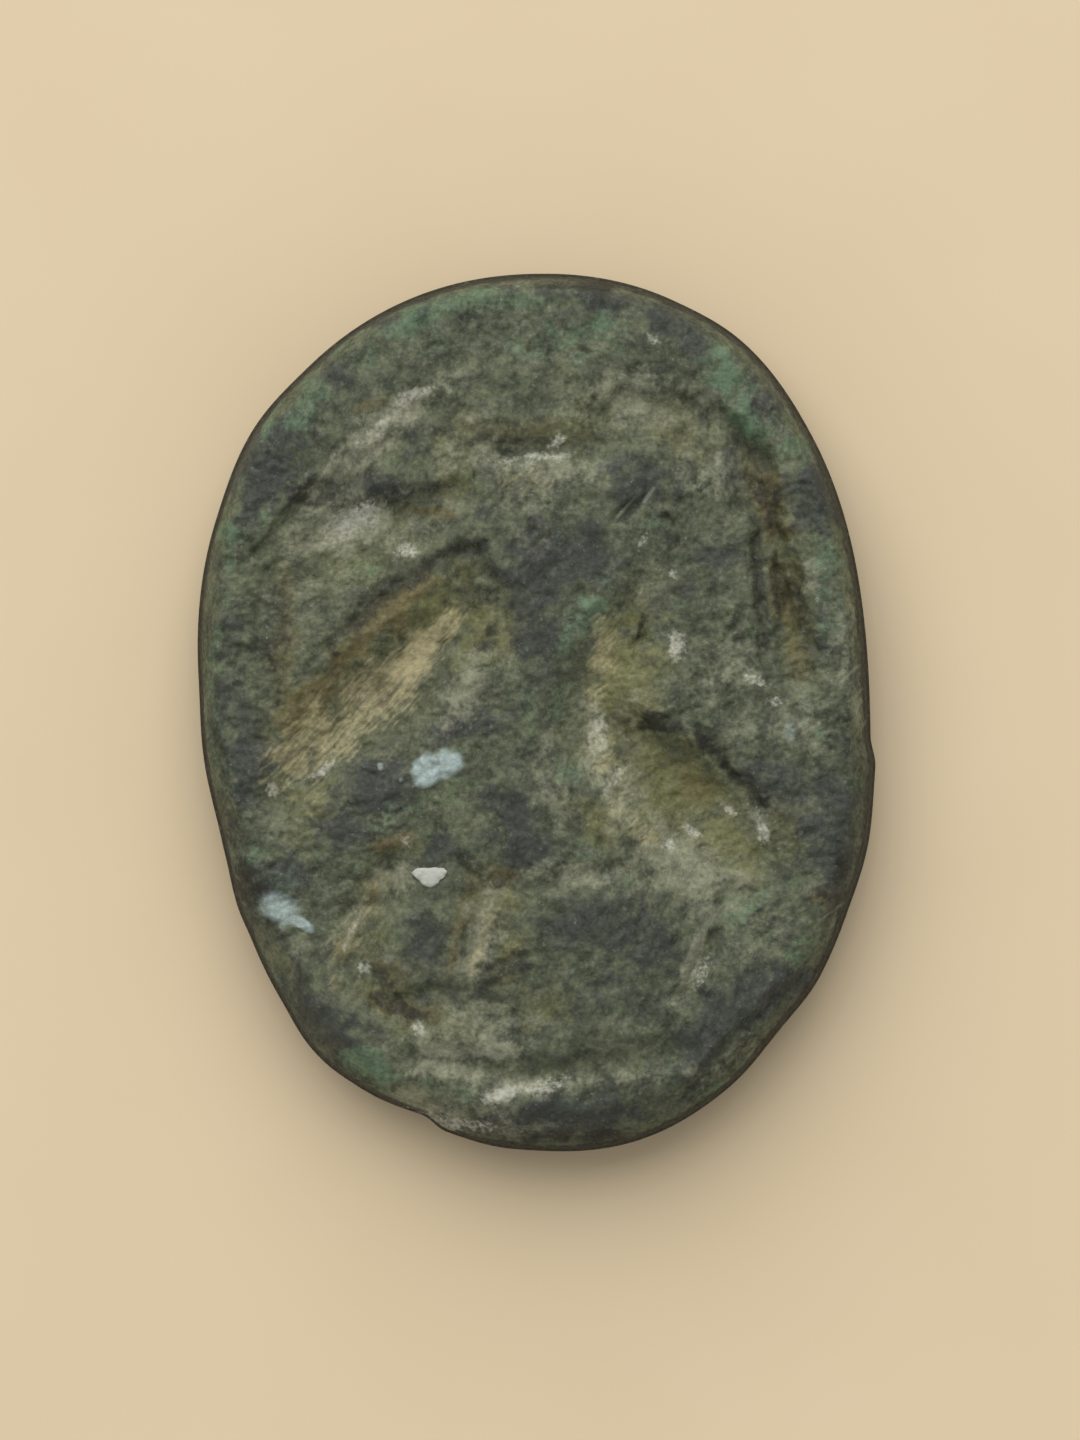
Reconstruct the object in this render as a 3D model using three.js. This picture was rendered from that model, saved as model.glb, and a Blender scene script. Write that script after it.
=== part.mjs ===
// Seal matrix: one cast oval of copper alloy, lying on its plain back with the engraved face up.
// The face is an intaglio. A winged beast sits on a ground line, and every limb and plume of it is
// a hollow sunk into the metal, with one steep wall and one long soft one, so that it prints in relief.
// Millimetres, +Z up, +Y towards the top of the design. The origin is the middle of the underside.
import * as THREE from 'three';

// The blank
const HALF_WIDTH = 10.03;
const HALF_LENGTH = 12.98;
const OVAL_POWER = 2.15; // 2 is an ellipse; more makes the shoulders fuller
const THICKNESS = 4.2;
const FACE_CROWN = 0.35; // how far the face falls from its middle to its rim
const RIM_NARROW = 0.5; // the bevelled border of the face, as seen from above, at the top of the design
const RIM_SPREAD = 1.0; // and how much wider it is at the bottom
const RIM_DROP = 1.5; // its height
const RIM_POWER = 1.5; // its profile: 1 is a flat bevel and 2 a quarter round
const BULGE = 0.12; // how far the wall stands out below the border
const BULGE_HEIGHT = 1.9;
const FOOT_HEIGHT = 1.3; // the rounded lower edge
const FOOT_INSET = 1.2;

// How far the hand-filed outline strays from the oval: waves round the edge, each with the bearing of
// a crest in degrees, then single breaks and swells. A mark has its bearing, and the degrees over
// which it fades out on the side before it and the side after it, counterclockwise.
const EDGE_WAVES = [
  { waves: 1, height: 0.1, crest: 78 },
  { waves: 2, height: 0.16, crest: -56 },
  { waves: 3, height: 0.1, crest: 40 },
  { waves: 4, height: 0.095, crest: -30 },
];
const EDGE_MARKS = [
  { at: 61, before: 16, after: 11, height: 0.1 },
  { at: 135, before: 12, after: 14, height: 0.12 },
  { at: 188, before: 14, after: 14, height: 0.09 },
  { at: 213, before: 8, after: 6, height: 0.06 },
  { at: 236, before: 8, after: 9, height: 0.1 },
  { at: 254, before: 15, after: 4, height: -0.24 },
  { at: 257, before: 10, after: 10, height: -0.13 },
  { at: 283, before: 18, after: 18, height: 0.145 },
  { at: 307, before: 10, after: 10, height: -0.14 },
  { at: 340, before: 15, after: 10, height: 0.15 },
  { at: 351, before: 11, after: 5, height: 0.15 },
];

// The hollows. Each runs along one shallow bow, from its first point to its second. bow is how far the
// middle stands off to the left, as seen along the way. halfWidth and depth are given at the start,
// middle and end. lean moves the deepest line across, from -1, the right-hand edge, to 1, the left.
const HOLLOWS = {
  featherTop: {
    ends: [[-3.5, 8.9], [-8.05, 4.65]], bow: 0.05, lean: -0.25,
    halfWidth: [1.05, 0.7, 0.4], depth: [0.3, 0.35, 0.25],
  },
  featherMiddle: {
    ends: [[-2.4, 6.05], [-7.3, 3.35]], bow: 0, lean: -0.35,
    halfWidth: [0.9, 2.1, 1.8], depth: [0.3, 0.6, 0.25],
  },
  featherLow: {
    ends: [[-1.97, 2.8], [-7.5, -2.4]], bow: 0.1, lean: -0.1,
    halfWidth: [2.0, 2.1, 1.3], depth: [0.55, 0.85, 0.4],
  },
  chin: {
    ends: [[-1.7, 7.6], [2.0, 7.6]], bow: -0.25, lean: 0.2,
    halfWidth: [0.8, 1.3, 0.8], depth: [0.2, 0.42, 0.25],
  },
  wingTop: {
    ends: [[1.8, 8.4], [6.15, 6.3]], bow: 1.2, lean: 0.3,
    halfWidth: [0.8, 1.15, 0.9], depth: [0.22, 0.42, 0.38],
  },
  plumes: {
    ends: [[6.25, 7.8], [7.6, 0.85]], bow: 0.25, lean: 0.1,
    halfWidth: [0.65, 0.95, 0.7], depth: [0.3, 0.42, 0.25],
  },
  chest: {
    ends: [[3.35, 3.75], [1.6, -0.8]], bow: -0.15, lean: -0.25,
    halfWidth: [1.0, 1.6, 1.9], depth: [0.3, 0.5, 0.65],
  },
  haunch: {
    ends: [[2.25, -1.05], [6.2, -4.5]], bow: 0, lean: 0.3,
    halfWidth: [1.8, 1.95, 1.4], depth: [0.7, 0.9, 0.55],
  },
  shank: {
    ends: [[5.85, -5.4], [4.1, -8.45]], bow: 0.1, lean: 0,
    halfWidth: [0.9, 0.6, 0.4], depth: [0.35, 0.3, 0.15],
  },
  belly: {
    ends: [[3.4, -4.9], [0.1, -5.2]], bow: -0.2, lean: 0,
    halfWidth: [0.45, 0.5, 0.45], depth: [0.1, 0.14, 0.1],
  },
  nearForeleg: {
    ends: [[-4.2, -4.35], [-5.4, -7.2]], bow: 0.05, lean: -0.15,
    halfWidth: [0.75, 1.0, 0.8], depth: [0.25, 0.42, 0.35],
  },
  nearPaw: {
    ends: [[-5.45, -7.4], [-3.1, -8.95]], bow: -0.1, lean: 0.1,
    halfWidth: [0.7, 0.7, 0.6], depth: [0.3, 0.3, 0.2],
  },
  farForeleg: {
    ends: [[-1.3, -5.1], [-1.95, -8.0]], bow: 0.05, lean: -0.15,
    halfWidth: [0.8, 1.0, 0.6], depth: [0.25, 0.4, 0.25],
  },
  farPaw: {
    ends: [[-4.0, -8.8], [0.7, -9.0]], bow: 0, lean: 0.1,
    halfWidth: [0.8, 1.1, 0.9], depth: [0.2, 0.3, 0.2],
  },
  groundLine: {
    ends: [[-4.35, -10.1], [4.55, -9.7]], bow: -0.55, lean: -0.25,
    halfWidth: [0.6, 0.85, 0.6], depth: [0.2, 0.35, 0.2],
  },
};
const MERGE_POWER = 4; // how softly hollows that meet run into each other

// The mesh
const FACE_CELLS = 58; // cells along each side of the square grid that is bent into the face
const FOOT_ROWS = 3;
const BOW_STEPS = 20;
const EXTENT_STEPS = 720;

const radians = THREE.MathUtils.degToRad;

// Distance from the middle of the blank to its edge, at a bearing in radians.
function edgeRadius(bearing) {
  const oval = Math.abs(Math.cos(bearing) / HALF_WIDTH) ** OVAL_POWER
    + Math.abs(Math.sin(bearing) / HALF_LENGTH) ** OVAL_POWER;
  let radius = oval ** (-1 / OVAL_POWER);
  for (const { waves, height, crest } of EDGE_WAVES) {
    radius += height * Math.cos(waves * (bearing - radians(crest)));
  }
  for (const { at, before, after, height } of EDGE_MARKS) {
    const turn = THREE.MathUtils.euclideanModulo(THREE.MathUtils.radToDeg(bearing) - at + 180, 360) - 180;
    const away = Math.min(Math.abs(turn) / (turn < 0 ? before : after), 1);
    radius += height * (0.5 + 0.5 * Math.cos(Math.PI * away));
  }
  return radius;
}

// The value at a share of the way along, from the three given at the start, middle and end.
function threePoint([start, middle, end], share) {
  return start * (1 - share) * (1 - 2 * share) + middle * 4 * share * (1 - share) + end * share * (2 * share - 1);
}

// A hollow's line as points of a shallow parabola, worked out once.
function bowedLine({ ends, bow }) {
  const [from, to] = ends.map(([x, y]) => new THREE.Vector2(x, y));
  const along = to.clone().sub(from).normalize();
  const pull = from.clone().lerp(to, 0.5).add(new THREE.Vector2(-along.y, along.x).multiplyScalar(2 * bow));
  return new THREE.QuadraticBezierCurve(from, pull, to).getPoints(BOW_STEPS);
}
const LINED_HOLLOWS = Object.values(HOLLOWS).map((hollow) => ({ ...hollow, line: bowedLine(hollow) }));

// Depth of one hollow below the face: the nearest point of its line gives the place along it, and the
// place between the deepest line and the edge gives the depth, on an S-shaped wall.
function hollowDepth(x, y, { line, halfWidth, depth, lean }) {
  let nearest = { distance: Infinity };
  for (let step = 0; step < BOW_STEPS; step += 1) {
    const a = line[step];
    const b = line[step + 1];
    const length = Math.hypot(b.x - a.x, b.y - a.y);
    const ux = (b.x - a.x) / length;
    const uy = (b.y - a.y) / length;
    const run = (x - a.x) * ux + (y - a.y) * uy;
    const held = THREE.MathUtils.clamp(run, 0, length);
    const left = (y - a.y) * ux - (x - a.x) * uy;
    const past = run - held;
    const distance = Math.hypot(left, past);
    if (distance < nearest.distance) {
      nearest = { distance, left, past, share: (step + held / length) / BOW_STEPS };
    }
  }
  const width = threePoint(halfWidth, nearest.share);
  const across = nearest.left / width - lean;
  const beyond = nearest.past / width;
  const away = across ** 2 + beyond ** 2 + 1e-9;
  const reach = (-lean * across + Math.sqrt(Math.max((lean * across) ** 2 + away * (1 - lean ** 2), 0))) / away;
  const rise = THREE.MathUtils.clamp(1 - 1 / reach, 0, 1);
  return threePoint(depth, nearest.share) * rise ** 2 * (3 - 2 * rise);
}

// The hollows wander a little, as hand work does.
function wander(x, y) {
  return [
    x + 0.14 * Math.sin(1.3 * y + 0.6) + 0.07 * Math.sin(2.9 * y + 1.7 * x + 2),
    y + 0.14 * Math.sin(1.5 * x + 1.9) + 0.07 * Math.sin(3.1 * x - 1.9 * y + 0.4),
  ];
}

// Height of the face at a point whose share of the way from middle to edge is known.
function faceHeight(x, y, share, radius) {
  const rimWidth = RIM_NARROW + RIM_SPREAD * (0.5 - y / HALF_LENGTH / 2) ** 3;
  const intoRim = THREE.MathUtils.clamp(1 - ((1 - share) * radius) / rimWidth, 0, 1);
  const bevel = 1 - (1 - intoRim ** RIM_POWER) ** (1 / RIM_POWER);
  const blank = THICKNESS - FACE_CROWN * share ** 2 - RIM_DROP * bevel;
  const [wx, wy] = wander(x, y);
  const sunk = LINED_HOLLOWS.reduce((sum, hollow) => sum + hollowDepth(wx, wy, hollow) ** MERGE_POWER, 0);
  return blank - sunk ** (1 / MERGE_POWER);
}

// Bearing and share of the radius for a point of the square from -1 to 1: its nested squares become rings.
function squareToRings(a, b) {
  if (a === 0 && b === 0) return { bearing: 0, share: 0 };
  const share = Math.max(Math.abs(a), Math.abs(b));
  const quarter = Math.PI / 4;
  if (share === Math.abs(a)) {
    const bearing = quarter * (b / a);
    return { bearing: a > 0 ? bearing : bearing + Math.PI, share };
  }
  const bearing = Math.PI / 2 - quarter * (a / b);
  return { bearing: b > 0 ? bearing : bearing + Math.PI, share };
}

// The middle of the outline's box, which is put on the origin.
function outlineMiddle() {
  const box = new THREE.Box2();
  for (let step = 0; step < EXTENT_STEPS; step += 1) {
    const bearing = (2 * Math.PI * step) / EXTENT_STEPS;
    const radius = edgeRadius(bearing);
    box.expandByPoint(new THREE.Vector2(radius * Math.cos(bearing), radius * Math.sin(bearing)));
  }
  return box.getCenter(new THREE.Vector2());
}

// The edge of the square grid, counterclockwise, as grid columns and rows.
function gridEdge(cells) {
  const edge = [];
  for (let i = 0; i < cells; i += 1) edge.push([i, 0]);
  for (let i = 0; i < cells; i += 1) edge.push([cells, i]);
  for (let i = 0; i < cells; i += 1) edge.push([cells - i, cells]);
  for (let i = 0; i < cells; i += 1) edge.push([0, cells - i]);
  return edge;
}

// One closed skin: the engraved face, the wall with its rounded foot, and the flat underside.
function sealGeometry() {
  const middle = outlineMiddle();
  const positions = [];
  const faces = [];
  const addPoint = (x, y, z) => positions.push(x - middle.x, y - middle.y, z) / 3 - 1;

  const grid = [];
  for (let row = 0; row <= FACE_CELLS; row += 1) {
    const points = [];
    for (let column = 0; column <= FACE_CELLS; column += 1) {
      const { bearing, share } = squareToRings((2 * column) / FACE_CELLS - 1, (2 * row) / FACE_CELLS - 1);
      const radius = edgeRadius(bearing) - BULGE;
      const x = share * radius * Math.cos(bearing);
      const y = share * radius * Math.sin(bearing);
      points.push(addPoint(x, y, faceHeight(x, y, share, radius)));
    }
    grid.push(points);
  }
  // Each cell is cut along the diagonal whose ends differ less in height, so that walls stay straight.
  const heightOf = (point) => positions[3 * point + 2];
  for (let row = 0; row < FACE_CELLS; row += 1) {
    for (let column = 0; column < FACE_CELLS; column += 1) {
      const [a, b] = [grid[row][column], grid[row][column + 1]];
      const [d, c] = [grid[row + 1][column], grid[row + 1][column + 1]];
      const alongAC = Math.abs(heightOf(a) - heightOf(c)) <= Math.abs(heightOf(b) - heightOf(d));
      faces.push(...(alongAC ? [a, b, c, a, c, d] : [a, b, d, b, c, d]));
    }
  }

  const edge = gridEdge(FACE_CELLS);
  const count = edge.length;
  let above = edge.map(([column, row]) => grid[row][column]);
  const levels = [{ inset: 0, height: BULGE_HEIGHT }];
  for (let step = 0; step <= FOOT_ROWS; step += 1) {
    const turn = (Math.PI / 2) * (step / FOOT_ROWS);
    levels.push({ inset: FOOT_INSET * (1 - Math.cos(turn)), height: FOOT_HEIGHT * (1 - Math.sin(turn)) });
  }
  for (const { inset, height } of levels) {
    const ring = edge.map(([column, row]) => {
      const { bearing } = squareToRings((2 * column) / FACE_CELLS - 1, (2 * row) / FACE_CELLS - 1);
      const radius = edgeRadius(bearing) - inset;
      return addPoint(radius * Math.cos(bearing), radius * Math.sin(bearing), height);
    });
    for (let i = 0; i < count; i += 1) {
      const next = (i + 1) % count;
      faces.push(above[i], ring[i], ring[next], above[i], ring[next], above[next]);
    }
    above = ring;
  }
  const underside = addPoint(middle.x, middle.y, 0);
  for (let i = 0; i < count; i += 1) faces.push(underside, above[(i + 1) % count], above[i]);

  const geometry = new THREE.BufferGeometry();
  geometry.setAttribute('position', new THREE.Float32BufferAttribute(positions, 3));
  geometry.setIndex(faces);
  geometry.computeVertexNormals();
  return geometry;
}

const patinatedBronze = new THREE.MeshStandardMaterial({ color: 0x4d4f42, roughness: 0.72, metalness: 0.3 });

const seal = new THREE.Mesh(sealGeometry(), patinatedBronze);
seal.name = 'seal_matrix';

const group = new THREE.Group();
group.add(seal);

export default group;
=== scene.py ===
"""Seal matrix: a small oval seal of corroded bronze, lying on its plain back with the engraved face up.

The face is an intaglio: a winged beast on a ground line, every limb and plume a hollow in the metal.
Sizes are in millimetres until the mesh is made. +Y is towards the top of the design.
"""

import math

import bpy
import numpy as np
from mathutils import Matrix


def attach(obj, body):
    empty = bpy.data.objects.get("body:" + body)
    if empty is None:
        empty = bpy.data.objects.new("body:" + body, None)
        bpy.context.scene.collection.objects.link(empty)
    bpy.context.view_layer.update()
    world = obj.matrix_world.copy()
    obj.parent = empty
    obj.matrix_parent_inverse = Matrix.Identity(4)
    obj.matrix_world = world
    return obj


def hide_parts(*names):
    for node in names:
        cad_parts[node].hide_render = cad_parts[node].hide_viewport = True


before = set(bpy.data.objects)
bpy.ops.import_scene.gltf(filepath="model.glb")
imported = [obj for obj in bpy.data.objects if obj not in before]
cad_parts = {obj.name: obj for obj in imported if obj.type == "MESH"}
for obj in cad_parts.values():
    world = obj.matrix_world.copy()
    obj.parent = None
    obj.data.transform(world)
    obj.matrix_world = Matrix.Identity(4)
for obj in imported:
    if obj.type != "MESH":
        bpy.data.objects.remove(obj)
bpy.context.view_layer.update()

MM = 0.001

# The blank, as in the solid
HALF_WIDTH = 10.03
HALF_LENGTH = 12.98
OVAL_POWER = 2.15
THICKNESS = 4.2
FACE_CROWN = 0.35
RIM_NARROW = 0.5  # the bevelled border of the face, at the top of the design
RIM_SPREAD = 1.0  # and how much wider it is at the bottom
RIM_DROP = 1.5  # its height
RIM_POWER = 1.5  # its profile: 1 is a flat bevel and 2 a quarter round
BULGE = 0.12  # how far the wall stands out below the rim
BULGE_HEIGHT = 1.9
FOOT_HEIGHT = 1.3
FOOT_INSET = 1.2
EDGE_WAVES = [(1, 0.1, 78), (2, 0.16, -56), (3, 0.1, 40), (4, 0.095, -30)]  # waves, height, crest bearing
EDGE_MARKS = [  # bearing, degrees to fade out before it and after it, height
    (61, 16, 11, 0.1),
    (135, 12, 14, 0.12),
    (188, 14, 14, 0.09),
    (213, 8, 6, 0.06),
    (236, 8, 9, 0.1),
    (254, 15, 4, -0.24),
    (257, 10, 10, -0.13),
    (283, 18, 18, 0.145),
    (307, 10, 10, -0.14),
    (340, 15, 10, 0.15),
    (351, 11, 5, 0.15),
]

# The hollows, as in the solid: start, end, bow to the left, half widths and depths at the start, middle
# and end, and the place of the deepest line, from -1 for the right-hand edge to 1 for the left.
HOLLOWS = {
    "feather_top": ((-3.5, 8.9), (-8.05, 4.65), 0.05, (1.05, 0.7, 0.4), (0.3, 0.35, 0.25), -0.25),
    "feather_middle": ((-2.4, 6.05), (-7.3, 3.35), 0, (0.9, 2.1, 1.8), (0.3, 0.6, 0.25), -0.35),
    "feather_low": ((-1.97, 2.8), (-7.5, -2.4), 0.1, (2.0, 2.1, 1.3), (0.55, 0.85, 0.4), -0.1),
    "chin": ((-1.7, 7.6), (2.0, 7.6), -0.25, (0.8, 1.3, 0.8), (0.2, 0.42, 0.25), 0.2),
    "wing_top": ((1.8, 8.4), (6.15, 6.3), 1.2, (0.8, 1.15, 0.9), (0.22, 0.42, 0.38), 0.3),
    "plumes": ((6.25, 7.8), (7.6, 0.85), 0.25, (0.65, 0.95, 0.7), (0.3, 0.42, 0.25), 0.1),
    "chest": ((3.35, 3.75), (1.6, -0.8), -0.15, (1.0, 1.6, 1.9), (0.3, 0.5, 0.65), -0.25),
    "haunch": ((2.25, -1.05), (6.2, -4.5), 0, (1.8, 1.95, 1.4), (0.7, 0.9, 0.55), 0.3),
    "shank": ((5.85, -5.4), (4.1, -8.45), 0.1, (0.9, 0.6, 0.4), (0.35, 0.3, 0.15), 0),
    "belly": ((3.4, -4.9), (0.1, -5.2), -0.2, (0.45, 0.5, 0.45), (0.1, 0.14, 0.1), 0),
    "near_foreleg": ((-4.2, -4.35), (-5.4, -7.2), 0.05, (0.75, 1.0, 0.8), (0.25, 0.42, 0.35), -0.15),
    "near_paw": ((-5.45, -7.4), (-3.1, -8.95), -0.1, (0.7, 0.7, 0.6), (0.3, 0.3, 0.2), 0.1),
    "far_foreleg": ((-1.3, -5.1), (-1.95, -8.0), 0.05, (0.8, 1.0, 0.6), (0.25, 0.4, 0.25), -0.15),
    "far_paw": ((-4.0, -8.8), (0.7, -9.0), 0, (0.8, 1.1, 0.9), (0.2, 0.3, 0.2), 0.1),
    "ground_line": ((-4.35, -10.1), (4.55, -9.7), -0.55, (0.6, 0.85, 0.6), (0.2, 0.35, 0.2), -0.25),
}
MERGE_POWER = 4  # how softly hollows that meet run into each other
BOW_STEPS = 20

# Finer cuts than the solid carries, in the same form
FINE_CUTS = {
    "wing_crease": ((4.2, 9.9), (6.9, 7.1), 0.1, (0.2, 0.35, 0.4), (0.08, 0.22, 0.25), 0.2),
    "wing_fold": ((3.1, 10.2), (0.9, 7.9), 0.1, (0.15, 0.25, 0.2), (0.05, 0.1, 0.06), 0),
    "inner_plume": ((6.45, 6.8), (6.85, 1.0), -0.15, (0.25, 0.35, 0.35), (0.14, 0.22, 0.16), 0),
    "outer_plume": ((7.0, 5.4), (8.1, 0.8), 0.15, (0.3, 0.45, 0.3), (0.15, 0.22, 0.15), 0.3),
    "short_plume": ((6.2, 3.4), (5.4, 1.9), 0.1, (0.12, 0.22, 0.12), (0.06, 0.14, 0.05), 0),
    "plume_fold": ((5.2, 4.2), (4.9, 2.6), 0.05, (0.12, 0.2, 0.12), (0.05, 0.12, 0.05), 0),
    "wing_slot": ((3.15, 2.85), (2.8, 1.7), 0, (0.14, 0.2, 0.14), (0.1, 0.24, 0.08), 0),
    "shoulder_slit": ((3.3, 6.55), (2.2, 5.6), 0, (0.18, 0.3, 0.22), (0.08, 0.2, 0.1), 0),
    "shoulder_pit": ((3.4, 6.2), (4.0, 6.1), 0.05, (0.22, 0.32, 0.22), (0.1, 0.18, 0.08), 0),
    "neck_pit": ((3.9, 5.7), (4.2, 5.5), 0, (0.2, 0.25, 0.2), (0.1, 0.16, 0.1), 0),
    "breast_slit": ((4.0, 6.05), (6.1, 6.7), 0.15, (0.12, 0.16, 0.1), (0.06, 0.1, 0.06), 0),
    "feather_vein": ((-4.2, 6.0), (-2.3, 5.8), -0.05, (0.12, 0.16, 0.1), (0.05, 0.12, 0.06), 0),
    "border": ((-8.1, 4.2), (-7.95, -1.5), -0.1, (0.2, 0.35, 0.25), (0.06, 0.12, 0.08), 0),
    "haunch_brink": ((4.5, -0.1), (6.6, -2.75), -0.1, (0.2, 0.34, 0.22), (0.14, 0.26, 0.16), 0.2),
    "haunch_corner": ((2.9, -0.7), (4.6, -0.1), 0.15, (0.3, 0.4, 0.25), (0.1, 0.16, 0.1), 0),
    "haunch_edge": ((0.9, -2.3), (3.3, -4.6), 0.1, (0.15, 0.22, 0.15), (0.06, 0.12, 0.06), 0),
    "low_brink": ((-1.8, 5.0), (-6.6, 1.6), -0.25, (0.4, 0.5, 0.4), (0.2, 0.18, 0.06), 0.1),
    "low_pocket": ((-1.9, 4.6), (-1.0, 3.3), 0.1, (0.2, 0.28, 0.15), (0.1, 0.2, 0.08), 0),
    "middle_brink": ((-5.9, 6.9), (-2.8, 6.5), -0.1, (0.5, 0.75, 0.5), (0.06, 0.12, 0.06), 0),
    "bevel_crack": ((3.9, -11.8), (8.6, -7.1), 0.12, (0.15, 0.3, 0.2), (0.08, 0.22, 0.12), 0.2),
    "paw_gap": ((-3.9, -8.2), (-1.9, -8.0), -0.15, (0.25, 0.35, 0.25), (0.06, 0.12, 0.08), 0),
    "paw_pit": ((-1.1, -7.4), (-0.1, -7.1), 0.1, (0.2, 0.3, 0.2), (0.08, 0.16, 0.08), 0),
}

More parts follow.
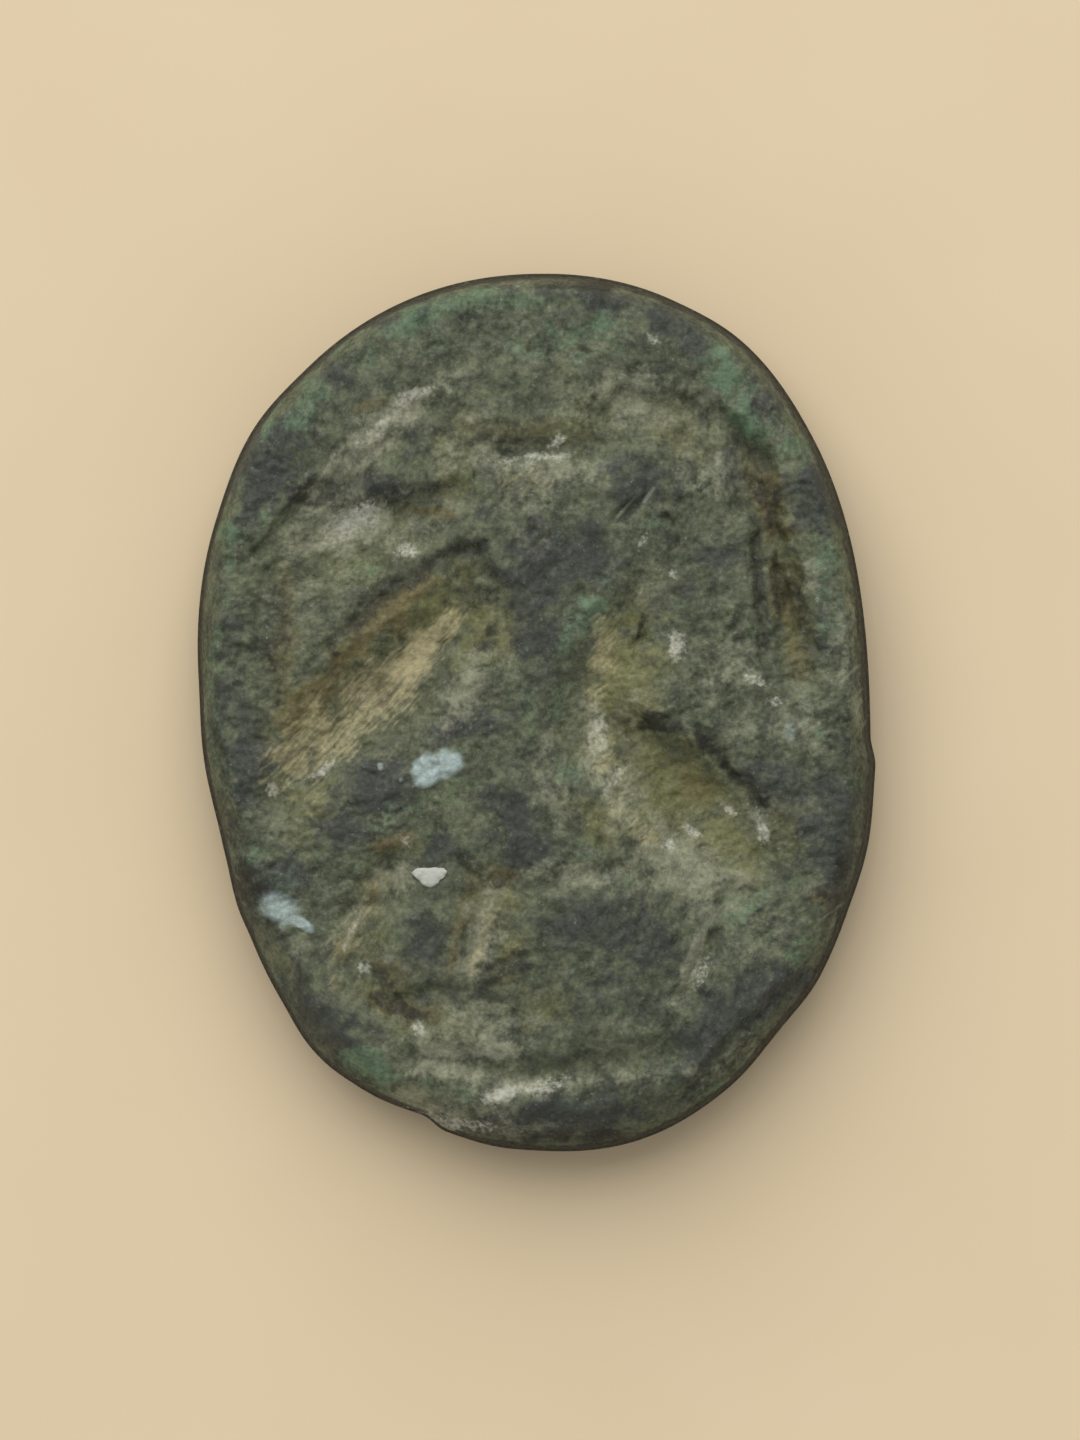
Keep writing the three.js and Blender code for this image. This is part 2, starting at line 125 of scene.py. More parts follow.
# Corrosion and dirt on the face, with painted shade on the walls that face away from the light and at the
# rim, and painted light and glints on the slopes that face it. Each patch has its middle, half length, half
# width, the bearing of its length in degrees, and its strength
PATCHES = {
    "ochre_earth": [
        (2.7, 0.9, 2.0, 1.1, 85, 1.0), (4.3, -2.1, 2.0, 1.2, -42, 1.0),
        (5.6, -3.7, 1.4, 1.0, -50, 0.75), (-3.0, 3.2, 1.5, 0.8, 40, 0.9),
        (-6.9, -2.8, 1.1, 0.9, 60, 0.7), (-1.5, 2.2, 1.3, 0.9, 60, 0.8), (2.4, 8.9, 1.6, 0.8, 0, 0.4),
        (-2.3, 7.7, 0.8, 1.5, 0, 0.6), (-5.0, 4.8, 1.8, 1.0, 35, 0.6), (-1.4, -5.6, 0.9, 1.0, 0, 0.9),
        (0.2, -8.7, 0.9, 0.7, 0, 0.6), (-3.0, -9.2, 2.0, 0.7, -10, 0.6), (0.4, 8.3, 1.6, 0.5, 0, 0.6),
        (4.2, 8.4, 1.6, 0.9, -35, 0.6), (3.2, -2.8, 2.0, 1.0, -45, 0.8),
        (1.7, -3.2, 1.4, 0.6, -45, 0.8), (7.2, -3.8, 0.8, 1.0, 0, 0.45), (-4.0, -4.0, 0.8, 0.4, 0, 0.5),
        (-5.1, -6.2, 2.0, 0.7, 68, 0.55), (-4.1, -8.6, 1.5, 0.6, -15, 0.6),
        (-2.3, -6.5, 1.6, 0.35, 78, 0.5), (-7.5, 2.0, 2.6, 0.6, 90, 0.45),
        (7.4, 3.4, 2.8, 0.6, 100, 0.7), (-0.9, -7.3, 1.0, 0.4, 70, 0.8), (-5.9, 1.2, 2.6, 1.0, 45, 0.6),
        (1.6, -1.1, 0.7, 0.5, 0, 0.45),
    ],
    # brown earth, and painted shade on the upper walls of the hollows, which face away from the light
    "brown_earth_and_shade": [
        (-4.6, 2.6, 2.4, 0.5, 45, 0.9), (-6.0, 6.7, 1.2, 0.35, 15, 0.85),
        (-6.9, 0.2, 1.6, 0.6, 45, 0.9), (-7.4, 1.9, 2.4, 0.4, 90, 0.6),
        (4.8, -2.1, 0.9, 0.5, -42, 0.55), (7.4, 3.0, 2.4, 0.45, 98, 0.7),
        (6.8, 6.3, 1.5, 0.5, 110, 0.9), (-4.7, 9.1, 0.8, 0.2, 15, 0.8), (-3.1, 5.9, 1.0, 0.2, -8, 0.8),
        (-4.0, -8.75, 1.4, 0.25, -15, 0.9), (-4.3, -3.9, 0.7, 0.3, 20, 0.8),
        (-2.3, -6.4, 1.3, 0.2, 78, 0.6), (-1.2, -4.8, 0.7, 0.3, 10, 0.7),
        (8.4, -5.4, 0.4, 0.35, 0, 0.9), (6.7, -10.2, 1.9, 0.3, 42, 0.7),
        (7.2, -3.0, 0.8, 0.5, -50, 0.4), (-0.8, 8.3, 1.4, 0.3, 5, 0.5),
        (-4.2, -7.6, 0.6, 0.5, -40, 0.6), (-4.7, -5.2, 1.0, 0.3, 65, 0.8),
    ],
    # pale olive crust, and painted light on the lower walls of the hollows that face the light
    "pale_olive_and_light": [
        (0.6, 10.8, 1.3, 0.5, 0, 0.5), (3.6, 3.9, 0.8, 0.7, 0, 0.5), (9.4, 0.3, 0.8, 0.3, 90, 0.7),
        (-4.3, -4.8, 0.7, 0.5, 0, 1.0), (8.1, 3.9, 0.9, 0.35, 96, 0.7), (8.0, -0.7, 0.8, 0.5, 90, 0.6),
        (1.4, 8.9, 0.8, 0.5, 0, 0.6), (-5.6, 5.5, 1.7, 0.8, 32, 1.25), (-6.5, 3.9, 1.3, 0.8, 40, 0.4),
        (-3.7, 5.3, 1.2, 0.5, 30, 0.6), (-4.7, 8.3, 1.9, 0.6, 47, 1.2), (-6.0, 7.0, 1.8, 0.3, 47, 1.0),
        (-2.9, 9.5, 1.0, 0.4, 30, 0.6), (0.3, 7.1, 2.0, 0.45, 0, 0.6), (3.4, 8.9, 1.6, 0.8, -25, 0.6),
        (4.9, 7.2, 1.2, 0.8, -50, 0.6), (1.7, -0.6, 1.3, 0.5, 100, 0.7),
        (2.6, -2.4, 1.9, 0.7, -45, 0.8), (3.9, -4.0, 1.5, 0.8, -35, 0.9),
        (4.7, -5.0, 1.3, 0.8, -30, 0.9), (-1.6, -6.4, 1.6, 0.6, 75, 1.1),
        (-1.6, -9.3, 2.0, 0.5, 6, 0.8), (4.7, -7.1, 1.7, 0.25, 66, 1.1), (1.7, -4.8, 2.0, 0.4, 0, 0.8),
        (-3.4, -10.5, 1.6, 0.4, -10, 0.7), (6.3, -3.3, 0.7, 0.4, -60, 0.6),
        (5.4, 1.2, 1.6, 1.0, 30, 0.5), (2.6, -10.8, 2.2, 0.22, 6, 0.7), (-2.0, 0.7, 1.1, 0.7, 60, 1.0),
        (-4.6, -1.5, 1.0, 0.3, 30, 0.4), (-2.6, -2.4, 1.2, 0.5, -20, 0.3),
        (0.4, -0.9, 1.4, 0.7, 60, 0.5), (0.5, -2.5, 1.0, 0.6, -60, 0.8),
        (-2.6, -10.4, 1.7, 0.5, -5, 0.9), (-3.4, -11.2, 1.4, 0.3, -14, 0.6),
        (-0.2, 6.2, 1.2, 0.35, 0, 0.5), (2.7, 9.4, 1.3, 0.9, 0, 0.8), (5.1, 9.2, 1.0, 0.45, -45, 0.9),
        (-2.3, -9.9, 2.0, 0.5, 2, 1.1), (9.0, 2.1, 1.1, 0.45, 90, 0.9), (8.2, -0.6, 0.9, 0.5, 90, 0.75),
        (5.9, -10.2, 1.2, 0.4, 42, 0.6), (-3.2, -11.9, 1.6, 0.3, -10, 0.7),
        (-5.2, -5.9, 1.8, 0.5, 66, 0.6), (7.4, -0.5, 1.2, 0.5, 0, 0.55),
        (-0.5, -11.1, 1.2, 0.35, 8, 1.05), (-1.4, -8.8, 1.3, 0.5, 0, 0.8),
        (-3.0, -11.6, 1.8, 0.4, -10, 0.8), (-1.6, 7.6, 0.9, 0.6, 0, 1.0),
        (-4.9, -10.6, 1.0, 0.4, -28, 0.6), (6.9, 8.4, 0.8, 0.5, 100, 0.5),
        (-2.2, 7.8, 0.8, 1.0, 0, 0.6), (6.0, -0.5, 0.8, 0.5, 0, 0.5), (5.3, -5.9, 1.0, 0.5, 0, 0.95),
        (6.3, -6.8, 1.4, 0.8, 50, 0.35), (-6.9, -6.9, 1.2, 0.5, -60, 0.15),
        (0.2, 4.9, 1.0, 0.7, 0, 0.4), (2.7, 0.0, 0.9, 0.6, 85, 0.55), (-2.6, 1.8, 0.8, 0.5, 46, 0.5),
        (-3.9, -11.5, 1.0, 0.4, -16, 0.7), (-0.6, -12.3, 1.2, 0.3, 2, 0.6),
    ],
    # tan earth in the cuts, and painted light on the slopes that face the light
    "tan_earth_and_light": [
        (-3.4, 1.7, 1.6, 0.6, 46, 1.4), (-4.7, 0.5, 2.6, 1.0, 46, 0.98),
        (-6.7, -1.0, 1.8, 1.0, 48, 0.98), (1.9, 1.6, 1.6, 0.5, 84, 0.8),
        (-5.3, -6.3, 1.8, 0.4, 66, 0.85), (3.0, -3.4, 1.2, 0.4, -45, 0.75),
        (-0.4, 6.9, 1.2, 0.4, 0, 0.6), (-4.7, 8.2, 1.2, 0.3, 47, 0.7), (1.9, -0.9, 1.0, 0.5, -75, 0.7),
        (-1.5, -6.5, 1.4, 0.35, 74, 0.8), (-5.6, 5.5, 1.0, 0.4, 30, 0.6),
    ],
    # dark soil, and painted shade along the steep upper walls of the hollows and at the top and bottom of
    # the rim
    "black_soil_and_shade": [
        (-2.0, 3.5, 0.8, 0.5, 20, 0.75), (7.8, 1.2, 0.6, 0.4, 90, 0.6),
        (-9.4, -1.1, 1.0, 0.3, 90, 0.55), (-8.4, -5.2, 0.8, 0.5, -60, 0.8),
        (-9.3, 1.5, 1.0, 0.3, 90, 0.6), (-0.4, -7.5, 0.8, 0.35, 15, 0.95),
        (-1.6, -5.0, 0.7, 0.3, 0, 0.65), (7.1, 4.0, 1.2, 0.3, 96, 0.85),
        (-3.6, 4.05, 1.3, 0.3, 33, 0.8), (-1.8, 4.9, 0.8, 0.35, -5, 1.0),
        (-5.6, 2.5, 1.4, 0.4, 40, 0.75), (-1.1, 3.2, 1.0, 0.35, -65, 0.8),
        (3.8, -0.35, 0.8, 0.3, -10, 1.0), (5.2, -1.2, 1.1, 0.2, -50, 0.9),
        (6.6, -2.6, 0.35, 0.3, 0, 1.0), (5.4, 8.5, 1.5, 0.15, -50, 0.4), (6.6, 6.6, 0.9, 0.3, -70, 0.8),
        (6.6, 3.6, 2.2, 0.3, 94, 0.7), (7.0, 5.7, 1.0, 0.35, 100, 0.75),
        (-5.6, 6.45, 1.8, 0.45, -2, 0.9), (-1.9, -4.5, 0.9, 0.35, -40, 0.75),
        (-7.6, 1.9, 1.8, 0.35, 92, 0.75), (7.7, 3.0, 2.2, 0.3, 100, 0.6),
        (-5.1, 6.9, 1.3, 0.3, -10, 0.3), (-7.2, 5.9, 1.2, 0.15, 47, 0.6),
        (0.0, 7.95, 1.0, 0.15, 0, 0.7), (2.8, 5.9, 0.7, 0.2, 45, 0.8), (3.7, 5.9, 0.5, 0.2, -30, 0.7),
        (3.0, 2.3, 0.6, 0.12, 75, 0.9), (5.7, 2.6, 0.7, 0.12, 60, 0.6),
        (-4.1, -8.7, 1.0, 0.25, -20, 0.95), (-1.2, -7.9, 0.9, 0.3, 15, 0.8),
        (1.3, -3.1, 1.4, 0.2, -45, 0.6), (4.2, -6.5, 0.7, 0.2, 75, 0.8),
        (5.6, -10.2, 2.3, 0.12, 42, 0.6), (-3.9, -10.0, 0.9, 0.12, -15, 0.5),
        (-4.5, -4.3, 0.5, 0.3, 30, 0.5), (1.0, -12.6, 2.8, 0.25, 2, 0.8), (-6.9, 8.3, 0.4, 0.2, 0, 0.5),
        (1.0, 12.6, 2.4, 0.2, 0, 0.7), (-0.7, -7.3, 0.9, 0.35, 15, 0.75),
        (-2.9, 7.2, 0.5, 0.3, 30, 0.5), (-7.1, -7.2, 0.7, 0.5, -50, 0.45),
        (-1.3, 2.5, 0.7, 0.35, 60, 0.8), (8.9, -4.0, 2.5, 0.2, 95, 0.6),
    ],
    # the dark crust, and painted shade along the top and bottom of the rim
    "dark_crust_and_rim_shade": [
        (7.7, -2.7, 0.7, 0.5, 0, 0.75), (2.4, 7.2, 0.7, 0.5, 0, 0.75), (1.9, 4.0, 0.7, 0.6, 60, 0.75),
        (-1.6, 5.8, 0.7, 0.4, 0, 0.6), (-0.4, 12.5, 1.2, 0.25, 0, 0.7), (-8.0, 7.3, 1.7, 1.1, 70, 1.0),
        (-6.0, 10.0, 0.6, 0.55, 0, 0.9), (0.5, 4.7, 2.0, 1.0, 0, 1.05), (0.0, 3.7, 1.4, 1.2, 90, 1.1),
        (0.1, 2.2, 0.9, 0.8, 90, 0.9), (3.0, 6.8, 1.0, 0.9, -20, 1.0), (5.3, 4.3, 1.4, 0.9, 70, 0.6),
        (-1.9, -0.4, 1.5, 0.5, 14, 1.0), (-4.6, -2.2, 1.1, 0.9, 40, 1.0),
        (-5.7, -3.5, 0.9, 0.7, 0, 0.9), (-0.9, -2.7, 0.9, 0.7, 0, 0.9), (-0.3, -4.0, 1.1, 0.6, 0, 1.0),
        (-2.8, -4.0, 0.5, 0.4, 0, 0.9), (-3.4, -6.7, 1.0, 0.75, 62, 0.85),
        (1.9, -6.3, 2.0, 0.9, 0, 0.95), (3.5, -6.9, 0.8, 0.9, 90, 0.9), (1.9, -8.6, 1.8, 0.9, 0, 0.55),
        (6.8, -1.9, 1.4, 0.65, -15, 0.95), (8.6, -3.5, 2.2, 0.8, 90, 1.0),
        (6.3, -8.4, 1.7, 1.0, 25, 1.0), (4.9, -9.8, 1.2, 0.7, 30, 0.9), (4.3, 11.2, 1.1, 0.6, -28, 1.0),
        (1.8, 12.1, 0.7, 0.4, -10, 0.8), (6.7, 9.0, 0.7, 0.7, 0, 0.9), (8.2, 6.3, 1.1, 0.8, 110, 1.0),
        (-5.2, 6.65, 1.9, 0.5, -4, 0.95), (0.5, -12.0, 2.7, 0.65, 3, 1.0),
        (1.0, 12.3, 2.4, 0.35, -3, 0.7), (-9.4, 0.3, 2.2, 0.35, 90, 0.85),
        (7.1, -6.6, 0.8, 0.5, 50, 0.6), (5.6, 7.2, 0.9, 0.5, -50, 0.65),
        (-5.2, -9.2, 0.9, 0.45, -30, 0.9), (-3.9, 11.7, 1.3, 0.35, 22, 0.85),
        (-8.4, 6.0, 0.9, 0.45, 60, 0.95), (-8.3, -5.1, 0.8, 0.5, -60, 1.0),
        (-9.1, 1.6, 2.2, 0.6, 90, 0.6), (-8.6, -1.4, 1.8, 0.8, 88, 0.85),
        (-7.3, -7.0, 1.0, 0.4, -60, 0.6), (-7.6, -4.8, 1.1, 0.7, -30, 0.9),
        (-6.3, -9.1, 1.9, 0.7, -45, 1.0), (-3.7, 7.8, 0.3, 0.6, 0, 0.6), (-5.9, 2.7, 1.0, 0.6, 60, 0.4),
        (3.6, 4.9, 0.7, 0.5, 0, 0.4), (-1.3, 10.3, 2.2, 0.9, 10, 0.35),
    ],
    "verdigris": [
        (8.1, -0.8, 0.7, 0.6, 90, 0.5), (1.2, 11.0, 1.8, 0.7, 0, 0.65), (-3.3, 10.9, 0.8, 0.5, 0, 0.5),
        (5.4, 9.0, 0.9, 0.45, -45, 0.7), (-9.5, 0.5, 3.5, 0.3, 90, 0.6),
        (-8.8, 6.5, 2.4, 0.3, 66, 0.4), (-6.6, 10.2, 2.4, 0.35, 40, 0.6),
        (-2.6, 12.1, 2.2, 0.35, 12, 0.75), (-8.6, -5.0, 2.5, 0.3, -65, 0.5),
        (-1.6, 12.1, 1.0, 0.4, 0, 0.8), (-6.6, 9.3, 1.0, 0.6, 55, 0.85), (-7.9, 8.6, 0.5, 0.3, 60, 0.7),
        (-9.2, 5.2, 0.5, 0.6, 80, 0.9), (-3.5, 11.5, 1.0, 0.4, 20, 0.9), (-0.3, 12.1, 1.3, 0.4, 0, 0.7),
        (-2.0, 11.2, 1.4, 0.5, 10, 0.4), (2.0, 11.5, 0.5, 0.4, 20, 0.8),
        (0.6, 11.2, 1.1, 0.5, -10, 0.4), (5.5, 9.9, 1.0, 0.55, 115, 1.15),
        (6.1, 8.7, 0.7, 0.5, -60, 1.1), (7.7, 7.8, 0.7, 0.35, -10, 0.7), (6.7, 8.1, 0.6, 0.5, 0, 0.85),
        (8.7, 3.4, 2.0, 0.55, 97, 0.65), (9.0, 0.9, 1.3, 0.5, 90, 0.45),
        (-9.3, -1.2, 1.4, 0.4, 95, 0.6), (-9.2, 3.2, 1.2, 0.3, 85, 0.4),
        (-4.9, -10.5, 1.0, 0.45, -28, 1.1), (-7.9, -7.6, 0.9, 0.25, -62, 0.8),
        (1.1, 2.3, 2.2, 0.45, 58, 0.6), (0.6, 0.2, 0.8, 0.45, 60, 0.7), (1.0, -1.9, 0.7, 0.4, -60, 0.7),
        (1.4, -4.1, 0.5, 0.4, 0, 0.6), (4.6, -6.0, 0.7, 0.4, -30, 0.4), (6.3, -5.8, 0.9, 0.3, 38, 0.5),
        (2.6, -4.9, 0.8, 0.3, 0, 0.5), (-8.3, -4.0, 0.8, 0.6, -60, 0.6), (-7.2, -5.0, 0.7, 0.4, 0, 0.6),
        (3.2, 5.5, 0.5, 0.8, 20, 0.45), (5.6, -11.0, 1.8, 0.3, 38, 0.6),
        (-3.2, -11.1, 1.3, 0.3, -12, 0.6), (-4.6, -3.2, 0.9, 0.4, 30, 0.3),
        (-5.0, 10.4, 0.7, 0.4, 30, 0.5), (7.9, -7.0, 1.3, 0.3, 55, 0.4), (3.3, 9.0, 0.8, 0.4, 20, 0.4),
        (-5.0, 4.4, 1.2, 0.6, 30, 0.5), (-1.2, 1.0, 0.8, 0.6, 60, 0.35),
        (4.9, -5.2, 1.2, 0.6, -30, 0.35),
    ],
    # painted glints on the crests and slopes that face the light, with some paler rubbed metal
    "rubbed_and_glints": [
        (-5.5, 5.6, 0.9, 0.4, 28, 1.1), (-4.6, 8.4, 1.3, 0.25, 48, 0.8),
        (-3.6, 9.4, 0.7, 0.14, 15, 1.0), (-3.9, 4.75, 0.35, 0.2, 0, 0.9), (0.0, 7.5, 1.1, 0.2, 5, 0.9),
        (0.6, 7.95, 0.3, 0.15, 30, 0.9), (-0.8, -11.2, 0.8, 0.22, 10, 1.15),
        (0.3, -11.0, 0.6, 0.25, 20, 0.75), (-6.3, -1.7, 0.45, 0.14, 35, 1.0),
        (-7.8, -2.3, 0.2, 0.2, 0, 0.9), (4.1, 2.0, 0.25, 0.4, 0, 1.0),
        (6.4, 0.95, 0.35, 0.12, -20, 0.9), (4.0, 4.1, 0.15, 0.15, 0, 0.9),
        (3.1, 5.0, 0.12, 0.3, -30, 0.8), (7.0, 0.3, 0.3, 0.15, 0, 0.7), (-2.5, -12.15, 1.4, 0.25, -8, 0.9),
        (5.7, -2.9, 0.4, 0.12, -40, 1.0), (6.6, -3.4, 0.2, 0.5, 15, 1.0), (3.9, -3.9, 0.3, 0.3, 0, 0.8),
        (4.6, -3.5, 0.35, 0.15, -30, 0.8), (2.2, -2.0, 0.5, 0.2, 45, 0.7),
        (1.8, -0.5, 0.3, 0.6, 0, 0.7), (-5.3, -6.2, 1.0, 0.1, 66, 0.8), (-5.1, -7.5, 0.2, 0.2, 0, 0.9),
        (-3.5, -9.3, 0.2, 0.2, 0, 0.9), (4.8, -7.8, 0.8, 0.2, 60, 0.55),
        (-3.9, -3.8, 0.15, 0.15, 0, 0.7), (3.4, 11.0, 0.4, 0.1, -30, 0.8),
    ],
    "chalk": [
        (-3.2, -1.72, 0.56, 0.5, 60, 1.0), (-2.65, -1.52, 0.65, 0.46, 15, 0.8),
        (-7.6, -5.8, 0.95, 0.6, -20, 0.68), (-2.95, -1.65, 0.6, 0.4, 20, 0.95),
        (-6.95, -6.2, 0.5, 0.2, -35, 0.95), (7.5, -0.6, 0.3, 0.5, 5, 0.5),
        (7.9, 0.3, 0.3, 0.6, 15, 0.4), (-4.35, -7.3, 0.35, 0.25, 0, 0.45),
        (-4.6, -1.6, 0.14, 0.2, 0, 0.6), (-4.0, -2.0, 0.12, 0.12, 0, 0.6),
    ],
}
SCRATCHES = [  # middle, half length, bearing and strength
    (3.3, 6.4, 0.4, 55, 1.0), (2.6, 6.0, 0.7, 48, 0.7), (9.2, 1.1, 0.6, 42, 0.8),
    (9.4, 0.5, 0.5, 40, 0.6), (9.5, -0.6, 0.7, 55, 0.6), (9.2, -1.1, 0.6, 50, 0.5),
    (-0.9, -10.1, 0.6, -8, 0.7), (8.7, -5.9, 0.7, 35, 0.6),
]
SCRATCH_WIDTH = 0.07
SCRATCH_DEPTH = 0.015
STRAY_SCRATCHES = 90
STRAY_SEED = 5

# A loose-looking grain of white deposit. A noise, here and below, has a cell size, a seed and layers.
CRUMB = (-3.15, -4.82)
CRUMB_SIZE = (0.46, 0.27, 0.09)  # half its length, width and height
CRUMB_CORNERS = 0.19  # how far its three corners swell, as a share of its radius
CRUMB_LUMPS = (0.9, 91, 3)
CRUMB_LUMP_HEIGHT = 0.1

# The torn edges of the patches
PATCH_TEARS = (0.9, 101, 4)
RAGGED = {"chalk": 0.12, "black_soil_and_shade": 0.65, "dark_crust_and_rim_shade": 0.45}  # how far they tear a patch's edge
USUAL_RAGGED = 0.5
PATCH_CORE = 0.3  # where a patch is still whole and where it ends, in its half lengths and half widths
PATCH_END = 1.6

# The corroded skin
SWELLS = (2.6, 11, 2)
SWELL_HEIGHT = 0.05
LUMPS = (0.9, 21, 4)
LUMP_HEIGHT = 0.075
GRAINS = (0.25, 31, 2)
GRAIN_HEIGHT = 0.03
PITS = (0.5, 41, 2)
PIT_DEPTH = 0.07
CREASES = (1.2, 81, 3)
CREASED_PARTS = (2.0, 83, 2)
CREASE_DEPTH = 0.06
CRUST_HEIGHT = 0.05
CRUST_LUMPS = (0.3, 55, 2)
CRUST_LUMP_HEIGHT = 0.035
CHALK_HEIGHT = 0.07
TOOL_MARKS = (0.24, 51, 2)
TOOL_MARK_HEIGHT = 0.025
TOOL_MARK_BEARING = 45
TOOL_MARK_STRETCH = 10
TOOL_MARK_SLANT = 0.3
CUT_TEARS_X = (0.8, 61, 3)
CUT_TEARS_Y = (0.8, 71, 3)
CUT_TEAR = 0.12  # how far they tear the edges of the hollows
FINE_CUT_TEAR = 1.5  # and how many times further those of the finer cuts
SKIN_SINK = 0.1  # how far the corroded skin lies below the solid's face
SKIN_BORDER = 0.03  # the share of the radius over which the skin thins out at the edge
HEADROOM = 0.01  # the least distance below the highest point of the solid

# The wall and the foot
WALL_TEARS = (0.8, 95, 3)
WALL_ROUGHNESS = 0.03
WALL_AROUND = 12  # the wall's noise is laid out by this for each radian round the edge
WALL_DOWN = 3  # and by this for each millimetre of height
WALL_CLEARANCE = 0.005  # keeps the wall inside the solid, whose outline is cut into straight steps
BRINK_WIDTH = 0.25  # the painted shade at the very edge, a dark line wider on the side of this bearing
BRINK_SPREAD = 0.12
BRINK_SIDE = math.radians(15)
WALL_DARKNESS = 0.55  # how much of the painted shade on the wall is left at its foot
COATS_END = 0.1  # the height at which the coats have faded out on the foot
UNDERSIDE_END = 0.4  # the height up to which the underside's own coat comes round
RIM_HEIGHT = THICKNESS - FACE_CROWN - RIM_DROP

# How finely the meshes are cut
FACE_CELLS = 280
WALL_ROWS = 4
FOOT_ROWS = 6
CRUMB_ROWS = 26
CRUMB_COLUMNS = 60


# Noise and shapes, all on whole arrays

LATTICE_SIZE = 256  # corners of the noise's lattice each way, after which it repeats
LATTICE_SHIFT = 100


def edge_radius(bearing):
    """Superellipse radius, plus cosine waves round the edge, plus raised-cosine marks."""
    oval = (np.abs(np.cos(bearing) / HALF_WIDTH) ** OVAL_POWER
            + np.abs(np.sin(bearing) / HALF_LENGTH) ** OVAL_POWER)
    radius = oval ** (-1 / OVAL_POWER)
    for waves, height, crest in EDGE_WAVES:
        radius = radius + height * np.cos(waves * (bearing - math.radians(crest)))
    for at, before, after, height in EDGE_MARKS:
        turn = (np.degrees(bearing) - at + 180) % 360 - 180
        away = np.minimum(np.abs(turn) / np.where(turn < 0, before, after), 1)
        radius = radius + height * (0.5 + 0.5 * np.cos(np.pi * away))
    return radius


def outline_middle():
    """The middle of the outline's box."""
    bearing = np.linspace(0, 2 * np.pi, 720, endpoint=False)
    x = edge_radius(bearing) * np.cos(bearing)
    y = edge_radius(bearing) * np.sin(bearing)
    return (x.min() + x.max()) / 2, (y.min() + y.max()) / 2


def three_point(values, share):
    """The quadratic through values at shares 0, 1/2 and 1."""
    start, middle, end = values
    return (start * (1 - share) * (1 - 2 * share) + middle * 4 * share * (1 - share)
            + end * share * (2 * share - 1))


def smooth(low, high, value):
    """0 at low, 1 at high, flat beyond them and 3t^2 - 2t^3 between them. Low may be the larger one."""
    t = np.clip((value - low) / (high - low), 0, 1)
    return t * t * (3 - 2 * t)


def gradient_noise(x, y, cell, seed):
    """Perlin noise, from about -1 to 1: each corner of a square lattice gives a plane of random bearing
    through itself, and the planes are blended by the quintic 6t^5 - 15t^4 + 10t^3."""
    size = LATTICE_SIZE
    bearing = np.random.default_rng(seed).uniform(0, 2 * np.pi, (size, size))
    u = x / cell + LATTICE_SHIFT
    v = y / cell + LATTICE_SHIFT
    column = np.floor(u).astype(int)
    row = np.floor(v).astype(int)
    total = 0
    for right in (0, 1):
        for above in (0, 1):
            from_x = u - column - right
            from_y = v - row - above
            slope = bearing[(row + above) % size, (column + right) % size]
            near_x = 1 - np.abs(from_x)
            near_y = 1 - np.abs(from_y)
            weight_x = near_x ** 3 * (near_x * (6 * near_x - 15) + 10)
            weight_y = near_y ** 3 * (near_y * (6 * near_y - 15) + 10)
            total = total + weight_x * weight_y * (np.cos(slope) * from_x + np.sin(slope) * from_y)
    return 1.5 * total


def layered_noise(x, y, cell, seed, layers):
    """Gradient noise summed over layers, each at half the cell and 0.6 of the strength, and turned."""
    total = 0
    for layer in range(layers):
        turn = math.radians(23 + 37 * layer)
        u = x * math.cos(turn) - y * math.sin(turn)
        v = x * math.sin(turn) + y * math.cos(turn)
        total = total + 0.6 ** layer * gradient_noise(u, v, cell / 2 ** layer, seed + layer)
    return total


def turned(x, y, middle_x, middle_y, bearing):
    """The place seen from a middle: how far along a bearing in degrees, and how far to its left."""
    turn = math.radians(bearing)
    along = (x - middle_x) * math.cos(turn) + (y - middle_y) * math.sin(turn)
    across = (y - middle_y) * math.cos(turn) - (x - middle_x) * math.sin(turn)
    return along, across


def hollow_place(x, y, hollow):
    """For each point, the nearest place on the hollow's bowed line: offset to the left, distance past
    the line's ends, and share of the way along. The line is a parabola cut into short straight steps."""
    start, end, bow = hollow[0], hollow[1], hollow[2]
    start = np.array(start, float)
    end = np.array(end, float)
    along = (end - start) / np.linalg.norm(end - start)
    pull = (start + end) / 2 + 2 * bow * np.array([-along[1], along[0]])
    t = np.linspace(0, 1, BOW_STEPS + 1)[:, None]
    line = (1 - t) ** 2 * start + 2 * t * (1 - t) * pull + t ** 2 * end
    nearest = np.full(x.shape, np.inf)
    left = np.zeros_like(x)
    past = np.zeros_like(x)
    share = np.zeros_like(x)
    for step in range(BOW_STEPS):
        run_vector = line[step + 1] - line[step]
        length = np.hypot(*run_vector)
        ux, uy = run_vector / length
        dx = x - line[step, 0]
        dy = y - line[step, 1]
        run = dx * ux + dy * uy
        held = np.clip(run, 0, length)
        side = dy * ux - dx * uy
        beyond = run - held
        distance = np.hypot(side, beyond)
        closer = distance < nearest
        nearest = np.where(closer, distance, nearest)
        left = np.where(closer, side, left)
        past = np.where(closer, beyond, past)
        share = np.where(closer, (step + held / length) / BOW_STEPS, share)
    return left, past, share


